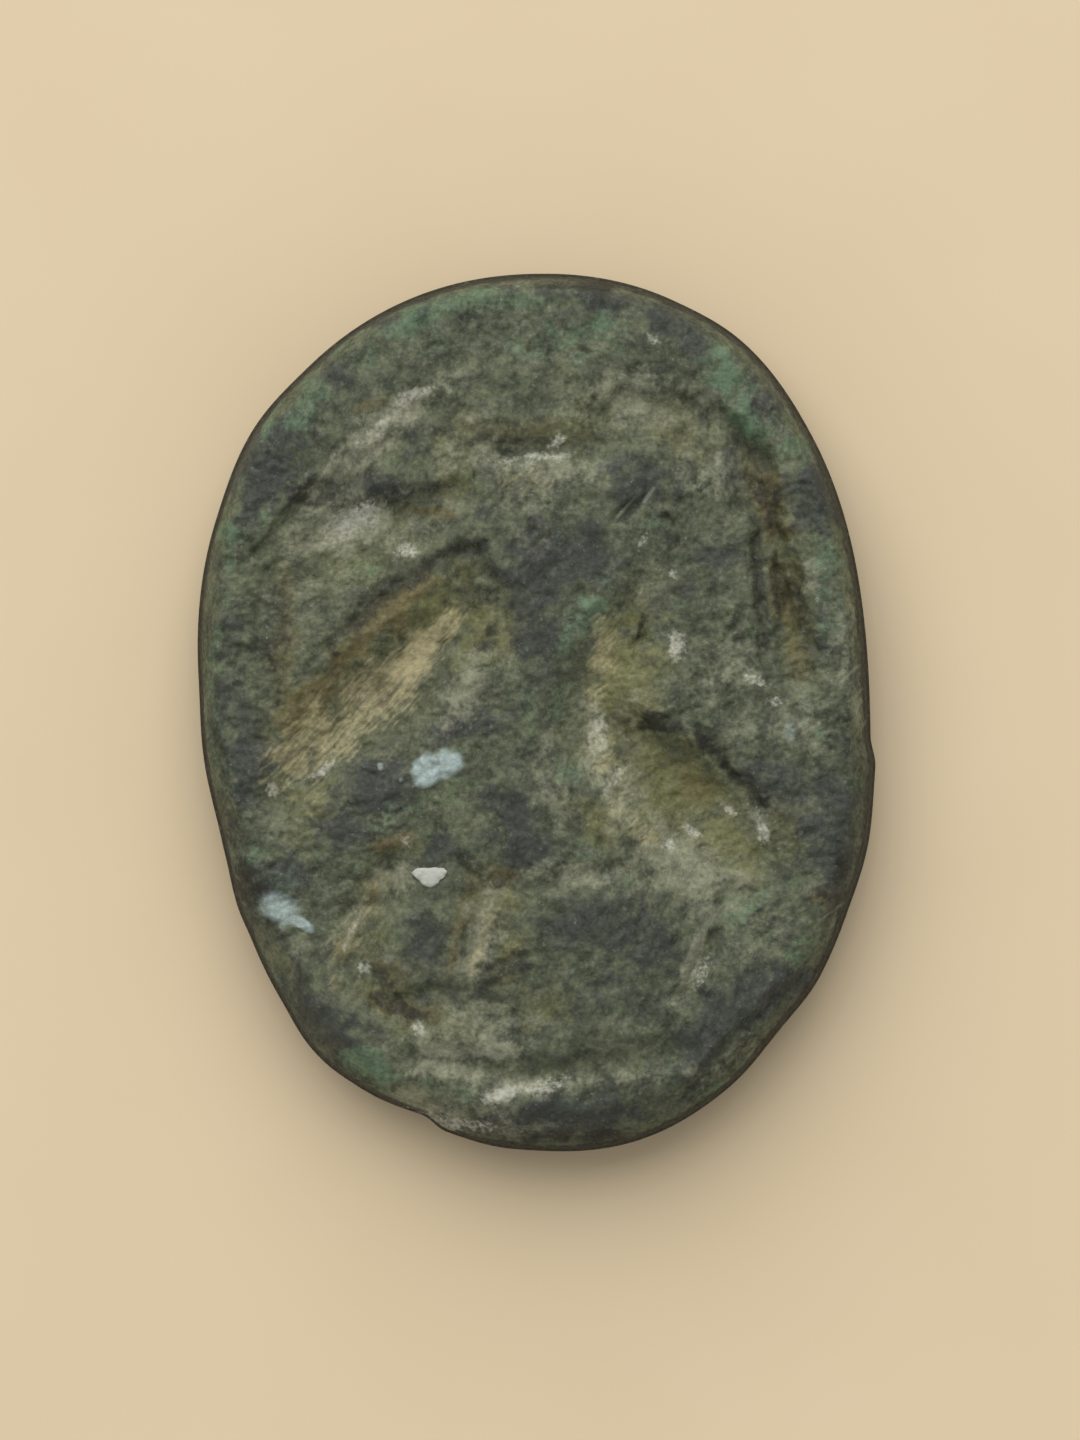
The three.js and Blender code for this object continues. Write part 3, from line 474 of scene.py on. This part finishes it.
def hollow_depth(x, y, hollow):
    """Depth of one hollow. Across it the place is scaled to a unit circle whose deepest point leans to
    one side, and the share of the way from that point to the circle gives the depth on an S-shaped wall."""
    _, _, _, half_width, depth, lean = hollow
    left, past, share = hollow_place(x, y, hollow)
    width = three_point(half_width, share)
    across = left / width - lean
    beyond = past / width
    away = across ** 2 + beyond ** 2 + 1e-9
    reach = (-lean * across + np.sqrt(np.maximum((lean * across) ** 2 + away * (1 - lean ** 2), 0))) / away
    rise = np.clip(1 - 1 / reach, 0, 1)
    return three_point(depth, share) * rise ** 2 * (3 - 2 * rise)


def sunk_depth(x, y, hollows):
    """Depth of all the hollows together: the root of the sum of their powers, so that they run together."""
    total = sum(hollow_depth(x, y, hollow) ** MERGE_POWER for hollow in hollows.values())
    return total ** (1 / MERGE_POWER)


def wander(x, y):
    """The hollows stray a little, by sums of sines, as hand work does."""
    return (
        x + 0.14 * np.sin(1.3 * y + 0.6) + 0.07 * np.sin(2.9 * y + 1.7 * x + 2),
        y + 0.14 * np.sin(1.5 * x + 1.9) + 0.07 * np.sin(3.1 * x - 1.9 * y + 0.4),
    )


def square_to_rings(a, b):
    """Bearing and share of the radius for points of the square from -1 to 1: nested squares become rings."""
    share = np.maximum(np.abs(a), np.abs(b))
    sideways = np.abs(a) >= np.abs(b)
    safe_a = np.where(a == 0, 1, a)
    safe_b = np.where(b == 0, 1, b)
    by_side = np.pi / 4 * (b / safe_a) + np.where(a < 0, np.pi, 0)
    by_top = np.pi / 2 - np.pi / 4 * (a / safe_b) + np.where(b < 0, np.pi, 0)
    return np.where(sideways, by_side, by_top), share


def patches(x, y, name):
    """How strongly a coat lies at each point: the strongest of its patches, each an ellipse that fades
    out from its middle, with its edge torn by noise."""
    tears = RAGGED.get(name, USUAL_RAGGED) * layered_noise(x, y, *PATCH_TEARS)
    value = np.zeros_like(x)
    for middle_x, middle_y, half_length, half_width, bearing, strength in PATCHES[name]:
        along, across = turned(x, y, middle_x, middle_y, bearing)
        edge = np.hypot(along / half_length, across / half_width) + tears
        value = np.maximum(value, strength * smooth(PATCH_END, PATCH_CORE, edge))
    return value


def stray_scratches():
    """Short faint scratches at random places, half of them within 30 degrees of one bearing."""
    random = np.random.default_rng(STRAY_SEED)
    x = random.uniform(-9, 9, STRAY_SCRATCHES)
    y = random.uniform(-12, 12, STRAY_SCRATCHES)
    half_length = random.uniform(0.15, 0.7, STRAY_SCRATCHES)
    one_way = random.uniform(0, 1, STRAY_SCRATCHES) < 0.5
    bearing_one_way = random.uniform(20, 80, STRAY_SCRATCHES)
    bearing_any_way = random.uniform(0, 180, STRAY_SCRATCHES)
    bearing = np.where(one_way, bearing_one_way, bearing_any_way)
    strength = random.uniform(0.05, 0.35, STRAY_SCRATCHES)
    return np.stack([x, y, half_length, bearing, strength], -1)


def scratch_field(x, y):
    """Strength of the strongest scratch at each point, falling off across it as a bell and ending softly."""
    value = np.zeros_like(x)
    for middle_x, middle_y, half_length, bearing, strength in [*SCRATCHES, *stray_scratches()]:
        along, across = turned(x, y, middle_x, middle_y, bearing)
        line = np.exp(-(across / SCRATCH_WIDTH) ** 2) * smooth(1, 0.5, np.abs(along) / half_length)
        value = np.maximum(value, strength * line)
    return value


# The seal

def weathering(x, y):
    """Height of the corroded skin above the cut form: broad swells, lumps and grains, small pits where
    a noise is high, and in some parts creases where another one crosses zero."""
    swells = SWELL_HEIGHT * layered_noise(x, y, *SWELLS)
    lumps = LUMP_HEIGHT * layered_noise(x, y, *LUMPS)
    grains = GRAIN_HEIGHT * layered_noise(x, y, *GRAINS)
    pits = -PIT_DEPTH * smooth(0.3, 0.7, layered_noise(x, y, *PITS))
    creased = smooth(-0.1, 0.4, layered_noise(x, y, *CREASED_PARTS))
    creases = -CREASE_DEPTH * smooth(0.1, 0, np.abs(layered_noise(x, y, *CREASES))) * creased
    return swells + lumps + grains + pits + creases


def tool_marks(x, y):
    """Streaks from -1 to 1 along the low feather: noise stretched ten times along its bearing."""
    along, across = turned(x, y, 0, 0, TOOL_MARK_BEARING)
    stretched = along / TOOL_MARK_STRETCH + TOOL_MARK_SLANT * across
    return layered_noise(stretched, across, *TOOL_MARKS)


def blank_height(y, share, radius):
    """Height of the uncut face: a crown, less a superellipse bevel that is wider towards the bottom."""
    rim_width = RIM_NARROW + RIM_SPREAD * (0.5 - y / HALF_LENGTH / 2) ** 3
    into_rim = np.clip(1 - (1 - share) * radius / rim_width, 0, 1)
    bevel = 1 - (1 - into_rim ** RIM_POWER) ** (1 / RIM_POWER)
    return THICKNESS - FACE_CROWN * share ** 2 - RIM_DROP * bevel


def face_surface(x, y, share, radius):
    """Height of the face and how deep it is cut: the blank less the hollows, plus the corroded skin, the
    raised crust and the deposits, all thinning out at the very edge."""
    torn_x = CUT_TEAR * layered_noise(x, y, *CUT_TEARS_X)
    torn_y = CUT_TEAR * layered_noise(x, y, *CUT_TEARS_Y)
    wandered_x, wandered_y = wander(x, y)
    broad = sunk_depth(wandered_x + torn_x, wandered_y + torn_y, HOLLOWS)
    fine = sunk_depth(x + FINE_CUT_TEAR * torn_x, y + FINE_CUT_TEAR * torn_y, FINE_CUTS)
    crust_height = CRUST_HEIGHT + CRUST_LUMP_HEIGHT * layered_noise(x, y, *CRUST_LUMPS)
    crust = patches(x, y, "dark_crust_and_rim_shade") * crust_height
    chalk = CHALK_HEIGHT * patches(x, y, "chalk")
    streaks = TOOL_MARK_HEIGHT * tool_marks(x, y) * patches(x, y, "tan_earth_and_light")
    marks = streaks - SCRATCH_DEPTH * scratch_field(x, y)
    skin = weathering(x, y) + crust + chalk + marks - SKIN_SINK
    height = blank_height(y, share, radius) - broad - fine + skin * smooth(0, SKIN_BORDER, 1 - share)
    return np.minimum(height, THICKNESS - HEADROOM), broad, fine


def face_edge_shade(bearing, to_edge):
    """Painted shade at the face's very edge: how dark it is from the edge inwards, over a width that changes
    with the bearing.
    """
    return smooth(BRINK_WIDTH + BRINK_SPREAD * np.cos(bearing - BRINK_SIDE), 0, to_edge)


def side_rings(bearing, edge_height):
    """Inset and height of each ring below the face: down a quarter of a cosine to the full bulge, then
    round a quarter ellipse to the underside, with noise that dies out towards the underside."""
    rings = []
    for row in range(1, WALL_ROWS + 1):
        down = row / WALL_ROWS
        height = edge_height * (1 - down) + BULGE_HEIGHT * down
        rings.append((BULGE * math.cos(np.pi / 2 * down), height))
    for row in range(FOOT_ROWS + 1):
        turn = np.pi / 2 * row / FOOT_ROWS
        height = np.full_like(edge_height, FOOT_HEIGHT * (1 - math.sin(turn)))
        lumps = 1 + layered_noise(WALL_AROUND * bearing, WALL_DOWN * height, *WALL_TEARS)
        rough = WALL_ROUGHNESS * math.cos(turn) * lumps
        rings.append((FOOT_INSET * (1 - math.cos(turn)) + rough, height))
    return rings


def seal_skin():
    """The closed skin as vertices, faces and fields: the face's grid, wall and foot rings, the underside."""
    middle_x, middle_y = outline_middle()
    side = np.linspace(-1, 1, FACE_CELLS + 1)
    a, b = np.meshgrid(side, side)
    bearing, share = square_to_rings(a, b)
    radius = edge_radius(bearing) - BULGE
    x = share * radius * np.cos(bearing)
    y = share * radius * np.sin(bearing)
    z, broad, fine = face_surface(x, y, share, radius)
    edge_shade = face_edge_shade(bearing, (1 - share) * radius)
    fields = {"cut": broad.ravel(), "fine": fine.ravel(), "edge_shade": edge_shade.ravel()}

    index = np.arange((FACE_CELLS + 1) ** 2).reshape(FACE_CELLS + 1, FACE_CELLS + 1)
    corners = [index[:-1, :-1], index[:-1, 1:], index[1:, 1:], index[1:, :-1]]
    points = [np.stack([x - middle_x, y - middle_y, z], -1).reshape(-1, 3)]
    quads = [np.stack([corner.ravel() for corner in corners], -1)]
    edge = np.concatenate([index[0, :-1], index[:-1, -1], index[-1, :0:-1], index[:0:-1, 0]])
    edge_bearing = bearing.ravel()[edge]
    count = len(edge)
    above = edge
    first = index.size
    for inset, height in side_rings(edge_bearing, z.ravel()[edge]):
        ring_radius = edge_radius(edge_bearing) - WALL_CLEARANCE - inset
        ring_x = ring_radius * np.cos(edge_bearing) - middle_x
        ring_y = ring_radius * np.sin(edge_bearing) - middle_y
        points.append(np.stack([ring_x, ring_y, height], -1))
        below = first + np.arange(count)
        quads.append(np.stack([above, below, np.roll(below, -1), np.roll(above, -1)], -1))
        above = below
        first += count
    points.append(np.array([[0.0, 0.0, 0.0]]))
    triangles = np.stack([np.full(count, first), np.roll(above, -1), above], -1)
    return np.concatenate(points), np.concatenate(quads), triangles, fields


def make_mesh(name, points, quads, triangles):
    """A smooth-shaded mesh object from arrays of points in millimetres, quads and triangles."""
    mesh = bpy.data.meshes.new(name)
    loops = np.concatenate([quads.ravel(), triangles.ravel()]).astype(np.int32)
    sizes = np.concatenate([np.full(len(quads), 4), np.full(len(triangles), 3)])
    starts = np.concatenate([[0], np.cumsum(sizes)[:-1]]).astype(np.int32)
    mesh.vertices.add(len(points))
    mesh.vertices.foreach_set("co", (points * MM).astype(np.float32).ravel())
    mesh.loops.add(len(loops))
    mesh.loops.foreach_set("vertex_index", loops)
    mesh.polygons.add(len(sizes))
    mesh.polygons.foreach_set("loop_start", starts)
    mesh.polygons.foreach_set("use_smooth", np.ones(len(sizes), bool))
    mesh.update(calc_edges=True)
    mesh.validate()
    piece = bpy.data.objects.new(name, mesh)
    bpy.context.scene.collection.objects.link(piece)
    return piece


def add_field(mesh, name, values, beyond=0):
    """Stores one number for each vertex: the values, and then what lies beyond the face."""
    padded = np.zeros(len(mesh.vertices), np.float32)
    padded[:len(values)] = values
    padded[len(values):] = beyond
    mesh.attributes.new(name, "FLOAT", "POINT").data.foreach_set("value", padded)


def build_seal():
    """The seal's skin with its fields. The patches run on down the wall, as if it were unfolded outwards,
    and fade out at its foot."""
    points, quads, triangles, fields = seal_skin()
    seal = make_mesh("engraved_seal", points, quads, triangles)
    face_points = (FACE_CELLS + 1) ** 2
    side_height = points[face_points:, 2]
    # Painted shade down the wall: full below the rim, fading towards the foot
    side_edge_shade = WALL_DARKNESS + (1 - WALL_DARKNESS) * smooth(0, BULGE_HEIGHT, side_height)
    for name, values in fields.items():
        add_field(seal.data, name, values, side_edge_shade if name == "edge_shade" else 0)
    middle_x, middle_y = outline_middle()
    down = np.maximum(RIM_HEIGHT - points[:, 2], 0)
    down[:face_points] = 0
    unfolded = 1 + down / np.hypot(points[:, 0], points[:, 1]).clip(1)
    x = (points[:, 0] + middle_x) * unfolded
    y = (points[:, 1] + middle_y) * unfolded
    above_foot = smooth(COATS_END, FOOT_HEIGHT, points[:, 2])
    for name in PATCHES:
        add_field(seal.data, name, patches(x, y, name) * above_foot)
    add_field(seal.data, "scratched", scratch_field(x, y) * above_foot)
    add_field(seal.data, "underside", smooth(UNDERSIDE_END, COATS_END, points[:, 2]))
    return seal


def crumb_height():
    """Height of the grain's middle: a little above the face there, but with its top below the solid's."""
    x, y = np.array([[CRUMB[0]]]), np.array([[CRUMB[1]]])
    radius = edge_radius(np.arctan2(y, x)) - BULGE
    ground = face_surface(x, y, np.hypot(x, y) / radius, radius)[0][0, 0]
    return min(ground + CRUMB_SIZE[2] / 3, THICKNESS - 1.3 * CRUMB_SIZE[2])


def blunt(value, power):
    """Raises a sine or cosine to a power and keeps its sign."""
    return np.sign(value) * np.abs(value) ** power


def build_crumb():
    """A grain of lime: a spheroid on latitude and longitude, with blunted sines for a flat top, swollen
    into three corners in plan, and lumpy by noise. Its lower half is in the face."""
    longitude, latitude = np.meshgrid(
        np.linspace(0, 2 * np.pi, CRUMB_COLUMNS, endpoint=False),
        np.linspace(-np.pi / 2, np.pi / 2, CRUMB_ROWS + 2)[1:-1],
    )
    reach = blunt(np.cos(latitude), 0.5) * (1 + CRUMB_CORNERS * np.cos(3 * (longitude + np.pi / 2)))
    across = reach * np.cos(longitude)
    up_plan = reach * np.sin(longitude)
    height = blunt(np.sin(latitude), 0.8)
    lumps = 1 + CRUMB_LUMP_HEIGHT * layered_noise(2 * across + height, 2 * up_plan - height, *CRUMB_LUMPS)
    unit = np.stack([across, up_plan, height], -1)
    points = (unit * lumps[..., None] * np.array(CRUMB_SIZE)).reshape(-1, 3)
    poles = np.array([[0, 0, -CRUMB_SIZE[2]], [0, 0, CRUMB_SIZE[2]]])

    index = np.arange(longitude.size).reshape(longitude.shape)
    right = np.roll(index, -1, 1)
    corners = (index[:-1], right[:-1], right[1:], index[1:])
    quads = np.stack([corner.ravel() for corner in corners], -1)
    south = np.full(CRUMB_COLUMNS, longitude.size)
    north = south + 1
    caps = np.concatenate([
        np.stack([south, right[0], index[0]], -1),
        np.stack([north, index[-1], right[-1]], -1),
    ])
    middle_x, middle_y = outline_middle()
    middle = np.array([CRUMB[0] - middle_x, CRUMB[1] - middle_y, crumb_height()])
    return make_mesh("lime_crumb", np.concatenate([points, poles]) + middle, quads, caps)


# Materials

# The bare skin: noise channel, low and high of the noise, how much shows at most, colour
TONES = [
    ("X", -0.5, 0.4, 1.0, "#5F634D"),
    ("Z", 0.0, 0.45, 0.75, "#43463F"),
    ("Y", 0.05, 0.5, 0.75, "#485A41"),
    ("X", 0.45, 0.9, 0.7, "#7E806A"),
    ("Z", 0.35, 0.8, 0.8, "#282B22"),
]
SKIN_BASE = "#35392D"
NOISES = [(1.7, 1.0), (0.5, 1.35), (0.13, 0.6)]  # size in mm and strength
# What lies on it: field, noise that breaks it up and how much, low and high of the two together, how much
# shows at most, colour
COATS = [
    ("cut", "Y", 0.8, 0.0, 0.8, 0.6, "#5B5D45"),
    ("ochre_earth", "Y", 0.8, 0.1, 1.15, 0.85, "#6B6A45"),
    # brown earth, and painted shade on the upper walls of the hollows
    ("brown_earth_and_shade", "Z", 0.7, 0.15, 1.0, 0.88, "#615839"),
    # dark crust, and painted shade at the top and bottom of the rim
    ("dark_crust_and_rim_shade", "Z", 1.0, 0.2, 1.0, 0.82, "#383A37"),
    # pale olive crust, and painted light on the lower walls that face the light
    ("pale_olive_and_light", "X", 1.0, 0.2, 1.2, 0.88, "#81826C"),
    # tan earth, and painted light on the slopes that face the light
    ("tan_earth_and_light", "streak", 0.8, 0.4, 1.45, 0.95, "#9F9672"),
    ("verdigris", "Y", 1.1, 0.25, 1.15, 0.8, "#5C7258"),
    # painted shade in the finer cuts
    ("fine", "X", 0.15, 0.04, 0.35, 0.5, "#24251C"),
    # dark soil, and painted shade along the upper walls and the rim
    ("black_soil_and_shade", "Z", 1.0, 0.25, 1.0, 0.85, "#25261E"),
    # painted shade at the very edge of the face and down the wall
    ("edge_shade", "Z", 0.5, 0.3, 0.95, 0.9, "#12150F"),
    ("scratched", "X", 0.3, 0.2, 0.9, 0.6, "#8B8D7B"),
    # painted glints, with some paler rubbed metal
    ("rubbed_and_glints", "grain", 2.4, 1.4, 2.5, 0.8, "#AFAFA0"),
    ("chalk", "X", 0.15, 0.35, 0.8, 0.9, "#97A5A1"),
    ("underside", "Y", 0.8, 0.7, 1.3, 0.6, "#524C35"),
]
STREAK_SIZE = (0.7, 0.1, 0.7)  # length, width and depth of the tool streaks, in mm
STREAK_BEARING = 46
STREAK_WAVER = 0.35
WAVER_SIZE = 0.8
CRYSTAL_SIZE = 0.26
CRYSTAL_COLOUR = "#7C8070"
GRAIN_SHADE = 0.28  # how far the grain and the blotches make the colours lighter and darker
BLOTCH_SHADE = 0.22
RELIEF = 0.04  # height of the mottle in the skin's shading, in mm


def linear(hex_colour):
    """A colour from its sRGB hex value, made linear, with alpha 1."""
    parts = [int(hex_colour[i:i + 2], 16) / 255 for i in (1, 3, 5)]
    return tuple(p / 12.92 if p <= 0.04045 else ((p + 0.055) / 1.055) ** 2.4 for p in parts) + (1.0,)


def node(tree, kind, inputs=None, **settings):
    """Adds a node: its own settings by name, and for each input a link from a socket or a value. A Map
    Range takes its value at input 0, its low and high at 1 and 2, and what they become at 3 and 4. A
    colour Mix takes its share at 0 and its colours at 6 and 7."""
    made = tree.nodes.new(kind)
    for name, value in settings.items():
        setattr(made, name, value)
    for key, value in (inputs or {}).items():
        if isinstance(value, bpy.types.NodeSocket):
            tree.links.new(value, made.inputs[key])
        else:
            made.inputs[key].default_value = value
    return made


def new_material(name):
    """An empty node material and its Object coordinates."""
    material = bpy.data.materials.new(name)
    material.use_nodes = True
    material.node_tree.nodes.clear()
    place = node(material.node_tree, "ShaderNodeTexCoord").outputs["Object"]
    return material, material.node_tree, place


def skin_noises(tree, place):
    """Blotches, mottle and grain, summed into three unlike noises about zero, and the grain on its own."""
    summed = (-sum(strength for _, strength in NOISES) / 2,) * 3
    for size, strength in NOISES:
        noise = node(tree, "ShaderNodeTexNoise",
                     {"Vector": place, "Scale": 1 / (size * MM), "Detail": 3.0, "Roughness": 0.6})
        summed = node(tree, "ShaderNodeVectorMath",
                      {0: noise.outputs["Color"], 1: (strength,) * 3, 2: summed},
                      operation="MULTIPLY_ADD").outputs[0]
    torn = node(tree, "ShaderNodeSeparateXYZ", {0: summed})
    grain = node(tree, "ShaderNodeSeparateXYZ", {0: noise.outputs["Color"]})
    return torn.outputs, grain.outputs


def streak_noise(tree, place):
    """Streaks left by the tool: a long narrow noise on a place that wavers."""
    drift = node(tree, "ShaderNodeTexNoise",
                 {"Vector": place, "Scale": 1 / (WAVER_SIZE * MM), "Detail": 2.0})
    strayed = node(tree, "ShaderNodeVectorMath",
                   {0: drift.outputs["Color"], 1: (STREAK_WAVER * MM,) * 3, 2: place},
                   operation="MULTIPLY_ADD")
    laid = node(tree, "ShaderNodeMapping",
                {"Vector": strayed.outputs[0], "Rotation": (0, 0, math.radians(STREAK_BEARING)),
                 "Scale": tuple(size * MM for size in STREAK_SIZE)}, vector_type="TEXTURE")
    drawn = node(tree, "ShaderNodeTexNoise", {"Vector": laid.outputs[0], "Scale": 1.0, "Detail": 3.0})
    return node(tree, "ShaderNodeMapRange",
                {0: drawn.outputs["Fac"], 1: 0.25, 2: 0.75, 3: -0.5, 4: 0.5}).outputs[0]


def coated_colour(tree, breaks):
    """The bare skin's tones, each where its noise is high, and over them each coat, where its field and
    the noise that breaks it up are high together."""
    colour = linear(SKIN_BASE)
    for channel, low, high, most, tone in TONES:
        share = node(tree, "ShaderNodeMapRange", {0: breaks[channel], 1: low, 2: high, 3: 0.0, 4: most},
                     interpolation_type="SMOOTHSTEP")
        colour = node(tree, "ShaderNodeMix", {0: share.outputs[0], 6: colour, 7: linear(tone)},
                      data_type="RGBA").outputs[2]
    for field, cause, amount, low, high, most, coat in COATS:
        value = node(tree, "ShaderNodeAttribute", attribute_name=field).outputs["Fac"]
        broken = node(tree, "ShaderNodeMath", {0: breaks[cause], 1: amount, 2: value},
                      operation="MULTIPLY_ADD").outputs[0]
        share = node(tree, "ShaderNodeMapRange", {0: broken, 1: low, 2: high, 3: 0.0, 4: most},
                     interpolation_type="SMOOTHSTEP")
        colour = node(tree, "ShaderNodeMix", {0: share.outputs[0], 6: colour, 7: linear(coat)},
                      data_type="RGBA").outputs[2]
    return colour


def crystal_share(tree, place, cluster_noise):
    """Small pale crystals: the middles of some cells of a Voronoi pattern, more of them in clusters."""
    # About two cells in five hold a crystal, which fades out from its middle
    crystals = node(tree, "ShaderNodeTexVoronoi", {"Vector": place, "Scale": 1 / (CRYSTAL_SIZE * MM)})
    chosen = node(tree, "ShaderNodeSeparateXYZ", {0: crystals.outputs["Color"]}).outputs["X"]
    picked = node(tree, "ShaderNodeMapRange", {0: chosen, 1: 0.62, 2: 0.8, 3: 0.0, 4: 0.38})
    near = node(tree, "ShaderNodeMapRange",
                {0: crystals.outputs["Distance"], 1: 0.42, 2: 0.12, 3: 0.0, 4: 1.0})
    cluster = node(tree, "ShaderNodeMapRange", {0: cluster_noise, 1: -0.1, 2: 0.5, 3: 0.0, 4: 1.6})
    fleck = node(tree, "ShaderNodeMath", {0: picked.outputs[0], 1: near.outputs[0]}, operation="MULTIPLY")
    return node(tree, "ShaderNodeMath", {0: fleck.outputs[0], 1: cluster.outputs[0]},
                operation="MULTIPLY").outputs[0]


def corroded_bronze():
    """Cast bronze long in the ground: a matt crust of dark tin oxide with green copper carbonate in
    patches, and pale and brown earth held in the cuts. Painted shade darkens the upper walls of the cuts,
    the finer cuts, the rim and the wall, and painted light and glints brighten the slopes that face the
    light. The eye sees a dull, mottled, speckled skin with a faint shine only on the slopes that face the
    light."""
    material, tree, place = new_material("corroded_bronze")
    torn, grain = skin_noises(tree, place)
    breaks = {"X": torn["X"], "Y": torn["Y"], "Z": torn["Z"], "grain": grain["Z"]}
    breaks["streak"] = streak_noise(tree, place)
    colour = coated_colour(tree, breaks)
    fleck = crystal_share(tree, place, torn["Y"])
    colour = node(tree, "ShaderNodeMix", {0: fleck, 6: colour, 7: linear(CRYSTAL_COLOUR)},
                  data_type="RGBA").outputs[2]

    # A fine light and dark speckle and a broad one over everything
    shades = ((grain["Y"], 0.25, 0.75, GRAIN_SHADE), (torn["X"], -0.7, 0.7, BLOTCH_SHADE))
    for source, low, high, swing in shades:
        shade = node(tree, "ShaderNodeMapRange", {0: source, 1: low, 2: high, 3: 1 - swing, 4: 1 + swing})
        colour = node(tree, "ShaderNodeVectorMath", {0: colour, 1: shade.outputs[0]},
                      operation="MULTIPLY").outputs[0]

    # The grains are smoother than what lies between them
    roughness = node(tree, "ShaderNodeMapRange", {0: grain["X"], 1: 0.3, 2: 0.7, 3: 0.8, 4: 0.5})
    bump = node(tree, "ShaderNodeBump", {"Height": torn["Z"], "Strength": 1.0, "Distance": RELIEF * MM})
    skin = node(tree, "ShaderNodeBsdfPrincipled",
                {"Base Color": colour, "Roughness": roughness.outputs[0], "Normal": bump.outputs[0],
                 "Metallic": 0.0, "Specular IOR Level": 0.25})
    node(tree, "ShaderNodeOutputMaterial", {"Surface": skin.outputs[0]})
    return material


def lime_deposit():
    """A hard white lime deposit: matt and a little grey, with a soft grain of 0.12 mm."""
    material, tree, place = new_material("lime_deposit")
    grain = node(tree, "ShaderNodeTexNoise", {"Vector": place, "Scale": 1 / (0.12 * MM), "Detail": 3})
    colour = node(tree, "ShaderNodeMix",
                  {0: grain.outputs["Fac"], 6: linear("#9A9B92"), 7: linear("#BDBDB3")}, data_type="RGBA")
    bump = node(tree, "ShaderNodeBump",
                {"Height": grain.outputs["Fac"], "Strength": 0.4, "Distance": 0.02 * MM})
    skin = node(tree, "ShaderNodeBsdfPrincipled",
                {"Base Color": colour.outputs[2], "Roughness": 0.7, "Normal": bump.outputs[0]})
    node(tree, "ShaderNodeOutputMaterial", {"Surface": skin.outputs[0]})
    return material


def pale_floor_paint():
    """Smooth pale floor paint, plain and matt, with the faintest mottle of 8 mm."""
    material, tree, place = new_material("pale_floor_paint")
    mottle = node(tree, "ShaderNodeTexNoise", {"Vector": place, "Scale": 1 / (8 * MM), "Detail": 2})
    colour = node(tree, "ShaderNodeMix",
                  {0: mottle.outputs["Fac"], 6: linear("#D3BF9C"), 7: linear("#D9C6A5")}, data_type="RGBA")
    skin = node(tree, "ShaderNodeBsdfPrincipled", {"Base Color": colour.outputs[2], "Roughness": 0.8})
    node(tree, "ShaderNodeOutputMaterial", {"Surface": skin.outputs[0]})
    return material


# The studio, in metres

VIEW_WIDTH = 31.95 * MM  # what the photograph takes in at the seal, at 33.8 pixels to the millimetre
IMAGE_WIDTH = 1080
IMAGE_HEIGHT = 1440
SEAL_PIXEL = (536.5, 712.5)  # where the middle of the seal lies in the photograph
CAMERA_HEIGHT = 0.3
NEAREST_DRAWN = 0.01
SENSOR_WIDTH = 27  # in millimetres, as the camera takes it
GIRDLE_HEIGHT = 2.6 * MM  # where the outline is seen
WINDOW_PLACE = (-0.1, 0.42, 0.42)
WINDOW_SIZE = 0.75
WINDOW_POWER = 4.5
ROOM_COLOUR = "#F2F2F2"
ROOM_STRENGTH = 0.56
FLOOR_REACH = 0.5


def place_camera():
    """Straight above, too far off for the seal's sides to show, with the seal where the photo has it."""
    pixel = VIEW_WIDTH / IMAGE_WIDTH
    camera = bpy.data.objects.new("camera", bpy.data.cameras.new("camera"))
    bpy.context.scene.collection.objects.link(camera)
    camera.data.sensor_fit = "HORIZONTAL"
    camera.data.sensor_width = SENSOR_WIDTH
    camera.data.lens = SENSOR_WIDTH * CAMERA_HEIGHT / VIEW_WIDTH
    camera.data.clip_start = NEAREST_DRAWN
    camera.location = (
        (IMAGE_WIDTH / 2 - SEAL_PIXEL[0]) * pixel,
        -(IMAGE_HEIGHT / 2 - SEAL_PIXEL[1]) * pixel,
        CAMERA_HEIGHT + GIRDLE_HEIGHT,
    )
    bpy.context.scene.camera = camera


def soft_light(name, location, size, power):
    """A square soft box that faces the seal."""
    lamp = bpy.data.lights.new(name, "AREA")
    lamp.shape = "SQUARE"
    lamp.size = size
    lamp.energy = power
    light = bpy.data.objects.new(name, lamp)
    light.location = location
    away = np.array(location) / np.linalg.norm(location)
    light.rotation_euler = (math.acos(away[2]), 0, math.atan2(away[1], away[0]) + math.pi / 2)
    bpy.context.scene.collection.objects.link(light)


def build_studio():
    """A plain floor, one large window behind the top of the seal, and an even pale room."""
    points = np.array([[-1, -1, 0], [1, -1, 0], [1, 1, 0], [-1, 1, 0]]) * FLOOR_REACH / MM
    floor = make_mesh("floor", points.astype(float), np.array([[0, 1, 2, 3]]), np.zeros((0, 3), int))
    floor.data.materials.append(pale_floor_paint())
    soft_light("window", WINDOW_PLACE, WINDOW_SIZE, WINDOW_POWER)
    world = bpy.data.worlds.new("studio")
    world.use_nodes = True
    backdrop = world.node_tree.nodes["Background"]
    backdrop.inputs["Color"].default_value = linear(ROOM_COLOUR)
    backdrop.inputs["Strength"].default_value = ROOM_STRENGTH
    bpy.context.scene.world = world
    bpy.context.scene.view_settings.view_transform = "Standard"


place_camera()
seal = build_seal()
seal.data.materials.append(corroded_bronze())
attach(seal, "root")
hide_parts("seal_matrix")
crumb = build_crumb()
crumb.data.materials.append(lime_deposit())
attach(crumb, "root")
build_studio()
